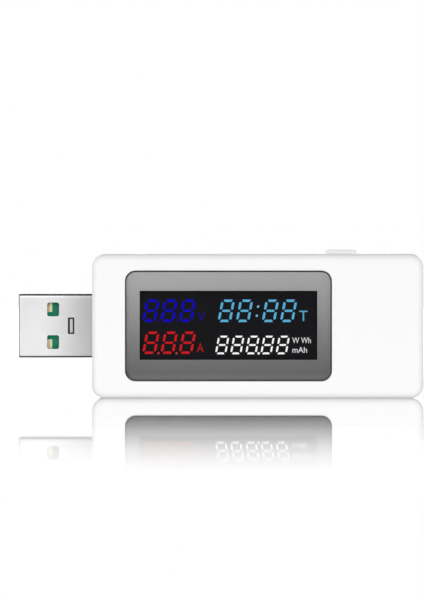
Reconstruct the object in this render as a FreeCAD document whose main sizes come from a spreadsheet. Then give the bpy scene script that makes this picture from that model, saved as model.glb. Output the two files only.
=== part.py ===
"""In-line USB power meter, as a parametric FreeCAD document, in millimetres.

The meter stands on its long side. X runs along it, from the plug's tip (-X) to the socket's mouth (+X).
The display faces -Y and the push button sticks out of the top, +Z. The origin is below the middle of the
whole meter, on the surface that it stands on. The two halves of the housing meet at Y = 0, and the circuit
board, the plug and the socket are centred on that plane.
"""

import FreeCAD, Part

import math
import os

import Sketcher
from FreeCAD import Vector

# ---------------------------------------------------------------- driving dimensions, in millimetres

HOUSING = {
    "body_length": 62.0,
    "body_height": 27.0,
    "body_depth": 12.6,
    "wall": 1.3,
    "corner_radius": 2.4,
    "edge_radius": 1.6,
    "seam_chamfer": 0.12,
    "lip_width": 0.55,
    "lip_height": 0.7,
    "lip_gap": 0.05,
    "left_snap": 11.0,
    "right_snap": 37.0,
    "snap_length": 4.0,
    "snap_rise": 0.2,
    "snap_width": 0.3,
    "snap_from_seam": 0.2,
    "left_post": 3.45,
    "right_post": 54.2,
    "post_rise": 9.1,
    "post_radius": 1.25,
    "pin_radius": 0.6,
    "pin_length": 1.0,
    "saddle_gap": 0.05,
    "saddle_length": 1.2,
    "plug_saddle_inset": 2.9,
    "plug_saddle_height": 9.0,
    "socket_saddle_inset": 5.8,
    "socket_saddle_height": 10.0,
}
WINDOW = {
    "window_left": 6.25,
    "window_length": 38.55,
    "window_height": 20.6,
    "window_radius": 1.95,
    "window_gap": 0.06,
    "window_sink": 0.05,
    "lens_thickness": 0.8,
    "lens_bevel": 0.08,
    "mask_thickness": 0.05,
    "mask_inset": 0.16,
    "seat_gap": 0.03,
    "tape_thickness": 0.15,
    "tape_width": 1.6,
    "window_floor": 0.8,
    "frame_margin": 1.1,
    "view_length": 33.2,
    "view_height": 12.9,
    "view_rise": 0.11,
    "view_margin": 0.35,
}
DISPLAY = {
    "glass_length": 36.4,
    "glass_height": 15.4,
    "glass_thickness": 0.55,
    "ledge": 1.4,
    "gasket_thickness": 0.3,
    "gasket_gap": 0.1,
    "polariser_thickness": 0.15,
    "polariser_margin": 0.5,
    "film_thickness": 0.1,
    "guide_length": 34.0,
    "guide_height": 15.6,
    "lamp_length": 1.2,
    "lamp_height": 3.8,
    "lamp_depth": 1.2,
    "lamp_pitch": 7.0,
    "clip_count": 18,
    "clip_pitch": 1.8,
    "clip_width": 0.4,
    "clip_sheet": 0.25,
    "clip_grip": 1.0,
    "clip_tail": 0.7,
    "clip_hole_radius": 0.32,
}
BOARD = {
    "board_thickness": 1.2,
    "board_gap": 0.05,
    "board_left": 1.85,
    "board_right": 1.65,
    "board_low": 2.4,
    "board_high": 24.4,
    "notch_gap": 0.15,
    "standoff": 0.1,
    "lead_width": 0.3,
    "lead_sheet": 0.15,
    "lead_rise": 0.7,
    "lead_shoulder": 0.3,
    "lead_reach": 1.0,
    "leg_width": 1.6,
    "leg_reach": 1.8,
}
BUTTON = {
    "button_from_left": 46.7,
    "button_length": 5.7,
    "button_depth": 3.0,
    "button_rise": 0.85,
    "button_radius": 0.45,
    "button_round": 0.35,
    "button_gap": 0.12,
    "flange_length": 7.0,
    "flange_depth": 4.2,
    "flange_thickness": 0.7,
    "flange_gap": 0.05,
    "foot_size": 2.0,
    "switch_low": 21.6,
    "switch_high": 23.4,
    "switch_length": 4.6,
    "switch_depth": 3.2,
    "switch_floor": 0.4,
    "cover_sheet": 0.2,
    "dome_radius": 1.35,
    "dome_rise": 0.35,
    "dome_sheet": 0.08,
    "well_gap": 0.05,
    "plunger_radius": 0.8,
    "plunger_gap": 0.12,
    "plunger_flange": 1.1,
    "plunger_flange_thickness": 0.5,
    "plunger_rise": 0.9,
    "terminal_length": 1.0,
    "terminal_height": 0.4,
    "terminal_sheet": 0.2,
}
PLUG = {
    "plug_reach": 13.9,
    "plug_inside": 5.25,
    "plug_width": 12.0,
    "plug_depth": 4.5,
    "plug_radius": 0.64,
    "plug_tip_round": 0.25,
    "plug_leg_inset": 3.1,
    "sheet": 0.3,
    "seam_width": 0.08,
    "seam_depth": 0.1,
    "insulator_gap": 0.04,
    "moulding_start": 0.4,
    "moulding_end": 0.2,
    "tongue_face": 0.05,
    "cavity_depth": 8.75,
    "opening_from_tip": 6.46,
    "opening_length": 2.25,
    "opening_width": 2.6,
    "opening_pitch": 6.14,
    "opening_radius": 0.4,
    "latch_from_tip": 9.86,
    "latch_length": 1.2,
    "latch_width": 3.1,
    "latch_radius": 0.15,
    "latch_gap": 0.35,
    "latch_side_gap": 0.25,
    "latch_ramp": 0.3,
    "latch_bend": 0.35,
    "latch_curl": 0.09,
    "latch_sheet": 0.2,
    "catch_margin": 0.05,
    "catch_depth": 1.8,
    "pad_start": 0.9,
    "pad_setback": 1.0,
    "pad_end": 6.15,
    "pad_slope": 0.5,
    "power_pad_width": 1.85,
    "power_pad_offset": 3.5,
    "data_pad_width": 1.0,
    "data_pad_offset": 1.0,
    "contact_sheet": 0.25,
    "contact_tail": 2.3,
}
SOCKET = {
    "socket_length": 14.0,
    "socket_width": 13.1,
    "socket_depth": 5.72,
    "socket_radius": 0.6,
    "socket_sink": 0.15,
    "socket_gap": 0.2,
    "mouth_bevel": 0.18,
    "socket_leg_inset": 3.1,
    "socket_leg_pitch": 7.0,
    "slot_from_mouth": 3.4,
    "slot_length": 5.2,
    "slot_width": 2.4,
    "slot_radius": 0.3,
    "slot_offset": 3.4,
    "spring_width": 1.6,
    "spring_root": 0.3,
    "spring_crest": 3.6,
    "spring_end": 4.6,
    "spring_bend": 0.45,
    "spring_lift": 0.35,
    "socket_block": 1.8,
    "block_gap": 0.05,
    "socket_tongue_length": 10.9,
    "socket_tongue_width": 11.1,
    "socket_tongue_depth": 1.84,
    "socket_tongue_face": 0.03,
    "socket_tongue_bevel": 0.3,
    "strip_width": 0.9,
    "strip_sheet": 0.2,
    "strip_tail": 1.8,
    "strip_slope": 0.8,
    "strip_flat": 5.0,
    "strip_crest": 7.6,
    "strip_touch": 9.2,
    "strip_end": 9.9,
    "strip_rise": 0.4,
    "strip_dip": 0.35,
}
# Parts on the board's back: distance from the housing's left end to the part's middle, height of its middle
# above the surface, then its own length, height and depth.
COMPONENTS = {
    "controller": (20.5, 13.2, 9.8, 5.4, 1.6),
    "driver": (34.0, 13.2, 9.8, 5.4, 1.6),
    "memory": (33.5, 21.1, 4.9, 3.0, 1.4),
    "amplifier": (19.5, 21.0, 2.9, 1.6, 1.1),
    "regulator": (12.2, 15.5, 4.5, 2.5, 1.5),
    "shunt": (11.5, 21.2, 6.4, 3.2, 0.7),
    "bulk": (12.2, 6.8, 3.5, 2.8, 1.9),
    "capacitor": (17.0, 7.0, 2.0, 1.25, 0.8),
    "resistor": (23.4, 6.8, 1.6, 0.8, 0.45),
    "crystal": (26.0, 22.4, 6.0, 2.0, 2.0),
}
COMPONENT_FIELDS = ("from_left", "level", "length", "height", "depth")
# Leads along each long edge of a package: pitch and count.
LEAD_ROWS = {
    "controller": (0.65, 14),
    "driver": (0.65, 14),
    "memory": (1.27, 4),
    "amplifier": (0.95, 3),
}
# Places of the repeated small parts, as steps from the first one.
CAPACITOR_STEPS = [(x, z) for x in (0.0, 3.0, 14.0, 17.0) for z in (0.0, 10.8)]
RESISTOR_STEPS = [(x, z) for x in (0.0, 3.2, 5.0, 14.4) for z in (0.0, 1.4, 11.3)]


def fill_sheet(sheet, *groups):
    """Writes each dimension as a named cell."""
    row = 1
    for group_of_sizes in groups:
        for alias, number in group_of_sizes.items():
            sheet.set(f"A{row}", alias)
            sheet.set(f"B{row}", str(number))
            sheet.setAlias(f"B{row}", alias)
            row += 1


doc = FreeCAD.newDocument("usb_power_meter")
sizes = doc.addObject("Spreadsheet::Sheet", "Sizes")
component_sizes = {
    f"{name}_{field}": number
    for name, numbers in COMPONENTS.items()
    for field, number in zip(COMPONENT_FIELDS, numbers)
}
fill_sheet(sizes, HOUSING, WINDOW, DISPLAY, BOARD, BUTTON, PLUG, SOCKET, component_sizes)
doc.recompute()

# ---------------------------------------------------------------- places worked out from the dimensions

LEFT = "(Sizes.plug_reach - Sizes.body_length) / 2"
RIGHT = "(Sizes.plug_reach + Sizes.body_length) / 2"
CENTRE = "Sizes.plug_reach / 2"
TIP = "-(Sizes.plug_reach + Sizes.body_length) / 2"
MIDDLE = "Sizes.body_height / 2"
FRONT = "-Sizes.body_depth / 2"
BACK = "Sizes.body_depth / 2"
FRONT_WALL = f"{FRONT} + Sizes.wall"
BACK_WALL = f"{BACK} - Sizes.wall"

WINDOW_X = f"{LEFT} + Sizes.window_left + Sizes.window_length / 2"
LENS_FRONT = f"{FRONT} + Sizes.window_sink"
MASK_FRONT = f"{LENS_FRONT} + Sizes.lens_thickness"
TAPE_FRONT = f"{MASK_FRONT} + Sizes.mask_thickness"
FLOOR_FRONT = f"{TAPE_FRONT} + Sizes.tape_thickness"
GASKET_FRONT = f"{FLOOR_FRONT} + Sizes.window_floor"
GLASS_FRONT = f"{GASKET_FRONT} + Sizes.gasket_thickness"
REAR_GLASS_FRONT = f"{GLASS_FRONT} + Sizes.glass_thickness"
REAR_POLARISER_FRONT = f"{REAR_GLASS_FRONT} + Sizes.glass_thickness"
COLOUR_FRONT = f"{REAR_POLARISER_FRONT} + Sizes.polariser_thickness"
DIFFUSER_FRONT = f"{COLOUR_FRONT} + Sizes.film_thickness"
GUIDE_FRONT = f"{DIFFUSER_FRONT} + Sizes.film_thickness"
BOARD_FRONT = "-Sizes.board_thickness / 2"
BOARD_BACK = "Sizes.board_thickness / 2"
REFLECTOR_BACK = f"{BOARD_FRONT} - Sizes.board_gap"
REFLECTOR_FRONT = f"{REFLECTOR_BACK} - Sizes.film_thickness"

LEDGE_LOW = f"{MIDDLE} - Sizes.glass_height / 2 - Sizes.ledge"
CLIP_Z = f"{LEDGE_LOW} - Sizes.clip_sheet * 1.5"
CLIP_SPREAD = "(Sizes.clip_count - 1) * Sizes.clip_pitch"
FIRST_CLIP = f"{WINDOW_X} - {CLIP_SPREAD} / 2"

BUTTON_X = f"{LEFT} + Sizes.button_from_left"
BUTTON_TOP = "Sizes.body_height + Sizes.button_rise"
FLANGE_TOP = "Sizes.body_height - Sizes.wall - Sizes.flange_gap"
FLANGE_LOW = f"{FLANGE_TOP} - Sizes.flange_thickness"
COVER_LOW = "Sizes.switch_high - Sizes.cover_sheet"
DOME_LOW = "Sizes.switch_low + Sizes.switch_floor"
DOME_TOP = f"{DOME_LOW} + Sizes.dome_rise"
DOME_BALL = "(Sizes.dome_radius ^ 2 + Sizes.dome_rise ^ 2) / (2 * Sizes.dome_rise)"
PLUNGER_TOP = "Sizes.switch_high + Sizes.plunger_rise"

PLUG_BACK = f"{LEFT} + Sizes.plug_inside"
SOCKET_MOUTH = f"{RIGHT} - Sizes.socket_sink"
SOCKET_BACK = f"{SOCKET_MOUTH} - Sizes.socket_length"

# Length of overshoot that lets a cut run clear of a face.
CLEAR = "1"

# ---------------------------------------------------------------- helpers

sub_parts = []


def size_of(expression):
    """The number that an expression over the Sizes sheet gives."""
    return float(sizes.evalExpression(expression))


def keep(item, label):
    """Marks an object as a sub-part, whose label names its file."""
    item.Label = label
    sub_parts.append(item)
    return item


def new_body(name):
    return doc.addObject("PartDesign::Body", name)


def grow(pair, amount):
    """A pair of size expressions, each made larger by an amount."""
    return tuple(f"{side} + ({amount})" for side in pair)


def place_on(sketch, geometry, vertex, axis, expression):
    """Fixes one coordinate of a sketch vertex to an expression."""
    if expression == "0":
        sketch_axis = -2 if axis == "X" else -1
        sketch.addConstraint(Sketcher.Constraint("PointOnObject", geometry, vertex, sketch_axis))
        return
    place = size_of(expression)
    index = sketch.addConstraint(Sketcher.Constraint(f"Distance{axis}", -1, 1, geometry, vertex, place))
    sketch.setExpression(f"Constraints[{index}]", expression)


def add_line(sketch, start, end):
    return sketch.addGeometry(Part.LineSegment(Vector(*start, 0), Vector(*end, 0)), False)


def join_corners(sketch, lines):
    """Joins four lines end to end."""
    for index, line in enumerate(lines):
        sketch.addConstraint(Sketcher.Constraint("Coincident", line, 2, lines[(index + 1) % 4], 1))


def round_corners(sketch, lines, middles, radius):
    """Joins four lines, listed anticlockwise from the lowest, with equal quarter circles."""
    arcs = []
    for index, middle in enumerate(middles):
        full = Part.Circle(Vector(*middle, 0), Vector(0, 0, 1), size_of(radius))
        start = (index - 1) * math.pi / 2
        arc = sketch.addGeometry(Part.ArcOfCircle(full, start, start + math.pi / 2), False)
        sketch.addConstraint(Sketcher.Constraint("Tangent", lines[index], 2, arc, 1))
        sketch.addConstraint(Sketcher.Constraint("Tangent", arc, 2, lines[(index + 1) % 4], 1))
        arcs.append(arc)
    for arc in arcs[1:]:
        sketch.addConstraint(Sketcher.Constraint("Equal", arcs[0], arc))
    index = sketch.addConstraint(Sketcher.Constraint("Radius", arcs[0], size_of(radius)))
    sketch.setExpression(f"Constraints[{index}]", radius)


def rectangle(at, size, radius=None):
    """An outline of the given size about a centre, with square or round corners."""

    def draw(sketch):
        x, y = (size_of(place) for place in at)
        half_x, half_y = (size_of(side) / 2 for side in size)
        round_by = size_of(radius) if radius else 0.0
        left, right = x - half_x + round_by, x + half_x - round_by
        low, high = y - half_y + round_by, y + half_y - round_by
        lines = [
            add_line(sketch, (left, y - half_y), (right, y - half_y)),
            add_line(sketch, (x + half_x, low), (x + half_x, high)),
            add_line(sketch, (right, y + half_y), (left, y + half_y)),
            add_line(sketch, (x - half_x, high), (x - half_x, low)),
        ]
        if radius:
            round_corners(sketch, lines, [(right, low), (right, high), (left, high), (left, low)], radius)
        else:
            join_corners(sketch, lines)
        for line, kind in zip(lines, ("Horizontal", "Vertical", "Horizontal", "Vertical")):
            sketch.addConstraint(Sketcher.Constraint(kind, line))
        for kind, first, second, side in (("X", 3, 1, size[0]), ("Y", 0, 2, size[1])):
            apart = Sketcher.Constraint(f"Distance{kind}", lines[first], 1, lines[second], 1, size_of(side))
            index = sketch.addConstraint(apart)
            sketch.setExpression(f"Constraints[{index}]", side)
        middle = sketch.addGeometry(Part.Point(Vector(x, y, 0)), True)
        place_on(sketch, middle, 1, "X", at[0])
        place_on(sketch, middle, 1, "Y", at[1])
        sketch.addConstraint(Sketcher.Constraint("Symmetric", lines[0], 1, lines[2], 1, middle, 1))

    return draw


def circle(at, radius):
    """A round outline about a centre."""

    def draw(sketch):
        centre = Vector(size_of(at[0]), size_of(at[1]), 0)
        item = sketch.addGeometry(Part.Circle(centre, Vector(0, 0, 1), size_of(radius)), False)
        index = sketch.addConstraint(Sketcher.Constraint("Radius", item, size_of(radius)))
        sketch.setExpression(f"Constraints[{index}]", radius)
        place_on(sketch, item, 3, "X", at[0])
        place_on(sketch, item, 3, "Y", at[1])

    return draw


def polygon(*corners):
    """A closed outline of straight lines through corners, each a pair of expressions."""

    def draw(sketch):
        points = [(size_of(x), size_of(y)) for x, y in corners]
        following = points[1:] + points[:1]
        lines = [add_line(sketch, start, end) for start, end in zip(points, following)]
        for index, (line, (x, y)) in enumerate(zip(lines, corners)):
            after = lines[(index + 1) % len(lines)]
            sketch.addConstraint(Sketcher.Constraint("Coincident", line, 2, after, 1))
            place_on(sketch, line, 1, "X", x)
            place_on(sketch, line, 1, "Y", y)

    return draw


PLANES = {"X": "YZ_Plane", "Y": "XZ_Plane", "Z": "XY_Plane"}


def origin_item(body, role):
    return next(item for item in body.Origin.OriginFeatures if item.Role == role)


def extrude(kind, body, name, axis, low, high, outlines):
    """A Pad or Pocket between two places on an axis.

    The sketch's own X and Y are the two other axes, in X, Y, Z order. The XZ plane's normal is -Y, so
    along Y the sketch lies at the high end.
    """
    sketch = body.newObject("Sketcher::SketchObject", f"{name}_sketch")
    sketch.AttachmentSupport = (origin_item(body, PLANES[axis]), [""])
    sketch.MapMode = "FlatFace"
    sketch.setExpression("AttachmentOffset.Base.z", f"-({high})" if axis == "Y" else low)
    for outline in outlines:
        outline(sketch)
    feature = body.newObject(f"PartDesign::{kind}", name)
    feature.Profile = sketch
    feature.setExpression("Length", f"({high}) - ({low})")
    feature.Reversed = kind == "Pocket"
    return feature


def pad(body, name, axis, low, high, *outlines):
    return extrude("Pad", body, name, axis, low, high, outlines)


def pocket(body, name, axis, low, high, *outlines):
    return extrude("Pocket", body, name, axis, low, high, outlines)


def lies_at(axis, place):
    """Tests that an edge lies wholly in the plane square to an axis at a place."""
    wanted = size_of(place)

    def test(edge):
        ends = (getattr(edge.BoundBox, f"{axis}Min"), getattr(edge.BoundBox, f"{axis}Max"))
        return all(abs(end - wanted) < 1e-4 for end in ends)

    return test


def dress(kind, body, name, feature, size, test):
    """A Fillet or Chamfer of a feature's edges that pass a test."""
    doc.recompute()
    edges = [f"Edge{i}" for i, edge in enumerate(feature.Shape.Edges, start=1) if test(edge)]
    item = body.newObject(f"PartDesign::{kind}", name)
    item.Base = (feature, edges)
    item.setExpression("Radius" if kind == "Fillet" else "Size", size)
    return item


def repeat(body, name, feature, axis, spread, count):
    """A row of copies of a feature along an axis of the body, from its first place over a spread."""
    pattern = body.newObject("PartDesign::LinearPattern", name)
    pattern.Originals = [feature]
    pattern.Direction = (origin_item(body, f"{axis}_Axis"), [""])
    pattern.setExpression("Length", spread)
    pattern.setExpression("Occurrences", count)
    body.Tip = pattern
    return pattern


def slab(label, low, high, at, size):
    """A flat rectangular sub-part square to Y."""
    body = new_body(label)
    pad(body, "sheet", "Y", low, high, rectangle(at, size))
    return keep(body, label)


def box(name, low, size):
    """A Part box from its low corner and its size, all expressions."""
    item = doc.addObject("Part::Box", name)
    for axis, expression in zip("xyz", low):
        item.setExpression(f"Placement.Base.{axis}", expression)
    for side, expression in zip(("Length", "Width", "Height"), size):
        item.setExpression(side, expression)
    return item


def box_about(name, x, z, length, height, front, depth):
    """A Part box about a middle in X and Z, and from a front face towards +Y."""
    low = (f"{x} - ({length}) / 2", front, f"{z} - ({height}) / 2")
    return box(name, low, (length, depth, height))


def compound(label, items):
    item = doc.addObject("Part::Compound", label)
    item.Links = items
    return item


def group(label, items):
    """Separate solids of one kind as one sub-part."""
    return keep(compound(label, items), label)


def with_room_for(label, base, tools):
    """The base as a sub-part, cut away where the tools lie inside it."""
    item = doc.addObject("Part::Cut", label)
    item.Base = base
    item.Tool = compound(f"{label}_tools", tools)
    return keep(item, label)


# ---------------------------------------------------------------- housing

BODY_SIZE = ("Sizes.body_length", "Sizes.body_height")
WINDOW_SIZE = ("Sizes.window_length", "Sizes.window_height")
VIEW_SIZE = ("Sizes.view_length", "Sizes.view_height")
CAVITY_SIZE = grow(BODY_SIZE, "-2 * Sizes.wall")
CAVITY_RADIUS = "Sizes.corner_radius - Sizes.wall"
PLUG_SIZE = ("Sizes.plug_depth", "Sizes.plug_width")
SOCKET_SIZE = ("Sizes.socket_depth", "Sizes.socket_width")
POSTS = [
    (f"{LEFT} + Sizes.{side}", f"{MIDDLE} {sign} Sizes.post_rise")
    for side in ("left_post", "right_post")
    for sign in ("-", "+")
]


def circles_at_posts(radius):
    return [circle(place, radius) for place in POSTS]


def outer_form(body, low, high, face):
    """A half's solid block, rounded towards its outer face and bevelled where it meets the other half."""
    outline = rectangle((CENTRE, MIDDLE), BODY_SIZE, "Sizes.corner_radius")
    block = pad(body, "block", "Y", low, high, outline)
    rounded = dress("Fillet", body, "edge_round", block, "Sizes.edge_radius", lies_at("Y", face))
    dress("Chamfer", body, "seam_bevel", rounded, "Sizes.seam_chamfer", lies_at("Y", "0"))


def inner_outline(widen="0"):
    """The cavity's outline, or one that reaches further into the walls."""
    return rectangle((CENTRE, MIDDLE), grow(CAVITY_SIZE, f"2 * ({widen})"), f"{CAVITY_RADIUS} + ({widen})")


def snap_outlines(slack):
    """Outlines of the four snap beads on the lip's outside, or of their pockets when there is slack."""
    size = grow(("Sizes.snap_length", "Sizes.snap_rise"), f"2 * ({slack})")
    from_edge = "(Sizes.wall - Sizes.lip_width - Sizes.snap_rise / 2)"
    heights = (from_edge, f"Sizes.body_height - {from_edge}")
    places = (f"{LEFT} + Sizes.left_snap", f"{LEFT} + Sizes.right_snap")
    return [rectangle((x, z), size) for x in places for z in heights]


def end_openings(body):
    """The plug's and the socket's openings in the end walls, and the button's slot in the top wall."""
    plug_hole = rectangle(
        ("0", MIDDLE),
        grow(PLUG_SIZE, "2 * Sizes.window_gap"),
        "Sizes.plug_radius + Sizes.window_gap",
    )
    pocket(body, "plug_opening", "X", f"{LEFT} - {CLEAR}", f"{LEFT} + Sizes.wall + {CLEAR}", plug_hole)
    socket_hole = rectangle(
        ("0", MIDDLE),
        grow(SOCKET_SIZE, "2 * Sizes.socket_gap"),
        "Sizes.socket_radius + Sizes.socket_gap",
    )
    right_wall = f"{RIGHT} - Sizes.wall"
    pocket(body, "socket_opening", "X", f"{right_wall} - {CLEAR}", f"{RIGHT} + {CLEAR}", socket_hole)
    slot = rectangle(
        (BUTTON_X, "0"),
        grow(("Sizes.button_length", "Sizes.button_depth"), "2 * Sizes.button_gap"),
        "Sizes.button_radius + Sizes.button_gap",
    )
    top = "Sizes.body_height"
    pocket(body, "button_slot", "Z", f"{top} - Sizes.wall - {CLEAR}", f"{top} + {CLEAR}", slot)


def saddles(body, sign):
    """Ribs from a half's inner face that hold the plug's and the socket's shells, on the side of sign."""
    for name, x, depth in (
        ("plug", f"{LEFT} + Sizes.plug_saddle_inset", "Sizes.plug_depth"),
        ("socket", f"{RIGHT} - Sizes.socket_saddle_inset", "Sizes.socket_depth"),
    ):
        outline = rectangle((x, MIDDLE), ("Sizes.saddle_length", f"Sizes.{name}_saddle_height"))
        seat = f"{sign}({depth} / 2 + Sizes.saddle_gap)"
        low, high = (FRONT_WALL, seat) if sign == "-" else (seat, BACK_WALL)
        pad(body, f"{name}_saddle", "Y", low, high, outline)


def front_shell():
    """Front half: window recess and view opening, rebate for the other half's lip, and four clamp posts."""
    body = new_body("front_shell")
    at_window = (WINDOW_X, MIDDLE)
    outer_form(body, FRONT, "0", FRONT)
    pocket(body, "cavity", "Y", FRONT_WALL, "0", inner_outline())
    frame_size = grow(WINDOW_SIZE, "2 * Sizes.frame_margin")
    pad(body, "window_frame", "Y", FRONT_WALL, GASKET_FRONT, rectangle(at_window, frame_size))
    recess = rectangle(
        at_window,
        grow(WINDOW_SIZE, "2 * Sizes.window_gap"),
        "Sizes.window_radius + Sizes.window_gap",
    )
    pocket(body, "window_recess", "Y", f"{FRONT} - {CLEAR}", FLOOR_FRONT, recess)
    view = rectangle(at_window, grow(VIEW_SIZE, "2 * Sizes.view_margin"))
    pocket(body, "view_opening", "Y", FRONT, f"{GASKET_FRONT} + {CLEAR}", view)
    rebate = inner_outline("Sizes.lip_width + Sizes.lip_gap")
    pocket(body, "lip_rebate", "Y", "-(Sizes.lip_height + Sizes.lip_gap)", "0", rebate)
    snap_low = "-(Sizes.snap_from_seam + Sizes.snap_width + Sizes.lip_gap)"
    snap_high = "-(Sizes.snap_from_seam - Sizes.lip_gap)"
    pocket(body, "snap_pockets", "Y", snap_low, snap_high, *snap_outlines("Sizes.lip_gap"))
    end_openings(body)
    pad(body, "clamp_posts", "Y", FRONT_WALL, BOARD_FRONT, *circles_at_posts("Sizes.post_radius"))
    saddles(body, "-")
    return keep(body, "front_shell")


def rear_shell():
    """Rear half: a lip with snap beads, and four posts whose pins locate the board."""
    body = new_body("rear_shell")
    outer_form(body, "0", BACK, BACK)
    lip_root = "Sizes.seam_chamfer"
    pad(body, "lip", "Y", "-Sizes.lip_height", lip_root, inner_outline("Sizes.lip_width"))
    snap_low = "-(Sizes.snap_from_seam + Sizes.snap_width)"
    pad(body, "snap_beads", "Y", snap_low, "-Sizes.snap_from_seam", *snap_outlines("0"))
    pocket(body, "cavity", "Y", f"-Sizes.lip_height - {CLEAR}", BACK_WALL, inner_outline())
    end_openings(body)
    pad(body, "board_posts", "Y", BOARD_BACK, BACK_WALL, *circles_at_posts("Sizes.post_radius"))
    pin_end = f"{BOARD_BACK} - Sizes.pin_length"
    pad(body, "board_pins", "Y", pin_end, BOARD_BACK, *circles_at_posts("Sizes.pin_radius"))
    saddles(body, "")
    return keep(body, "rear_shell")


# ---------------------------------------------------------------- window

MASK_SIZE = grow(WINDOW_SIZE, "-2 * Sizes.mask_inset")
MASK_RADIUS = "Sizes.window_radius - Sizes.mask_inset"


def window_lens():
    """Clear cover plate, bevelled round its front edge."""
    body = new_body("window_lens")
    outline = rectangle((WINDOW_X, MIDDLE), WINDOW_SIZE, "Sizes.window_radius")
    plate = pad(body, "plate", "Y", LENS_FRONT, MASK_FRONT, outline)
    dress("Chamfer", body, "front_bevel", plate, "Sizes.lens_bevel", lies_at("Y", LENS_FRONT))
    return keep(body, "window_lens")


def window_mask():
    """Grey print film whose opening, a little above its middle, frames the display."""
    body = new_body("window_mask")
    at = (WINDOW_X, MIDDLE)
    pad(body, "film", "Y", MASK_FRONT, TAPE_FRONT, rectangle(at, MASK_SIZE, MASK_RADIUS))
    cut_from, cut_to = f"{MASK_FRONT} - {CLEAR}", f"{TAPE_FRONT} + {CLEAR}"
    view = rectangle((WINDOW_X, f"{MIDDLE} + Sizes.view_rise"), VIEW_SIZE)
    pocket(body, "opening", "Y", cut_from, cut_to, view)
    return keep(body, "window_mask")


def window_tape():
    """Black double-sided tape that holds the lens: a ring, with a seat for the mask and a rim round it."""
    body = new_body("window_tape")
    at = (WINDOW_X, MIDDLE)
    outline = rectangle(at, WINDOW_SIZE, "Sizes.window_radius")
    pad(body, "ring", "Y", MASK_FRONT, FLOOR_FRONT, outline)
    seat = rectangle(at, grow(MASK_SIZE, "2 * Sizes.seat_gap"), f"{MASK_RADIUS} + Sizes.seat_gap")
    pocket(body, "mask_seat", "Y", f"{MASK_FRONT} - {CLEAR}", TAPE_FRONT, seat)
    opening = rectangle(at, grow(WINDOW_SIZE, "-2 * Sizes.tape_width"))
    pocket(body, "opening", "Y", TAPE_FRONT, f"{FLOOR_FRONT} + {CLEAR}", opening)
    return keep(body, "window_tape")


# ---------------------------------------------------------------- display

POLARISER_SIZE = grow(VIEW_SIZE, "2 * Sizes.polariser_margin")
GLASS_SIZE = ("Sizes.glass_length", "Sizes.glass_height")
GUIDE_SIZE = ("Sizes.guide_length", "Sizes.guide_height")


def display_gasket():
    """Foam ring between the window frame and the front glass, round the front polariser."""
    body = new_body("display_gasket")
    at = (WINDOW_X, MIDDLE)
    pad(body, "ring", "Y", GASKET_FRONT, GLASS_FRONT, rectangle(at, GLASS_SIZE))
    opening = rectangle(at, grow(POLARISER_SIZE, "2 * Sizes.gasket_gap"))
    pocket(body, "opening", "Y", f"{GASKET_FRONT} - {CLEAR}", f"{GLASS_FRONT} + {CLEAR}", opening)
    return keep(body, "display_gasket")


def display_layers():
    """The display's flat layers from the front polariser back to the reflector, behind the window."""
    at = (WINDOW_X, MIDDLE)
    slab("front_polariser", f"{GLASS_FRONT} - Sizes.polariser_thickness", GLASS_FRONT, at, POLARISER_SIZE)
    slab("front_glass", GLASS_FRONT, REAR_GLASS_FRONT, at, GLASS_SIZE)
    rear_at = (WINDOW_X, f"{MIDDLE} - Sizes.ledge / 2")
    rear_size = ("Sizes.glass_length", "Sizes.glass_height + Sizes.ledge")
    slab("rear_glass", REAR_GLASS_FRONT, REAR_POLARISER_FRONT, rear_at, rear_size)
    slab("rear_polariser", REAR_POLARISER_FRONT, COLOUR_FRONT, at, POLARISER_SIZE)
    slab("colour_film", COLOUR_FRONT, DIFFUSER_FRONT, at, POLARISER_SIZE)
    slab("diffuser_film", DIFFUSER_FRONT, GUIDE_FRONT, at, POLARISER_SIZE)
    slab("light_guide", GUIDE_FRONT, REFLECTOR_FRONT, at, GUIDE_SIZE)
    slab("reflector_film", REFLECTOR_FRONT, REFLECTOR_BACK, at, GUIDE_SIZE)


def backlight_leds():
    """Two lamps on the board's front, which shine into the left end of the light guide."""
    x = f"{WINDOW_X} - Sizes.guide_length / 2 - Sizes.lamp_length / 2"
    front = f"{BOARD_FRONT} - Sizes.lamp_depth"
    lamps = []
    for sign in ("-", "+"):
        z = f"{MIDDLE} {sign} Sizes.lamp_pitch / 2"
        lamp = box_about("lamp", x, z, "Sizes.lamp_length", "Sizes.lamp_height", front, "Sizes.lamp_depth")
        lamps.append(lamp)
    return group("backlight_leds", lamps)


def display_clips():
    """Row of clip pins: each grips the rear glass's ledge and runs back through the board."""
    body = new_body("display_clips")
    clip_front = f"{REAR_GLASS_FRONT} - Sizes.clip_sheet"
    clip_back = f"{REAR_POLARISER_FRONT} + Sizes.clip_sheet"
    low = f"{CLIP_Z} - Sizes.clip_sheet / 2"
    high = f"{CLIP_Z} + Sizes.clip_sheet / 2"
    grip = f"{LEDGE_LOW} + Sizes.clip_grip"
    tail = f"{BOARD_BACK} + Sizes.clip_tail"
    profile = polygon(
        (clip_front, low),
        (tail, low),
        (tail, high),
        (clip_back, high),
        (clip_back, grip),
        (REAR_POLARISER_FRONT, grip),
        (REAR_POLARISER_FRONT, high),
        (REAR_GLASS_FRONT, high),
        (REAR_GLASS_FRONT, grip),
        (clip_front, grip),
    )
    left, right = (f"{FIRST_CLIP} {sign} Sizes.clip_width / 2" for sign in ("-", "+"))
    clip = pad(body, "clip", "X", left, right, profile)
    repeat(body, "clip_row", clip, "X", CLIP_SPREAD, "Sizes.clip_count")
    return keep(body, "display_clips")


# ---------------------------------------------------------------- circuit board and what is soldered to it


def span(low, high):
    """Middle and length, as expressions, of the stretch between two places."""
    return f"(({low}) + ({high})) / 2", f"({high}) - ({low})"


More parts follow.
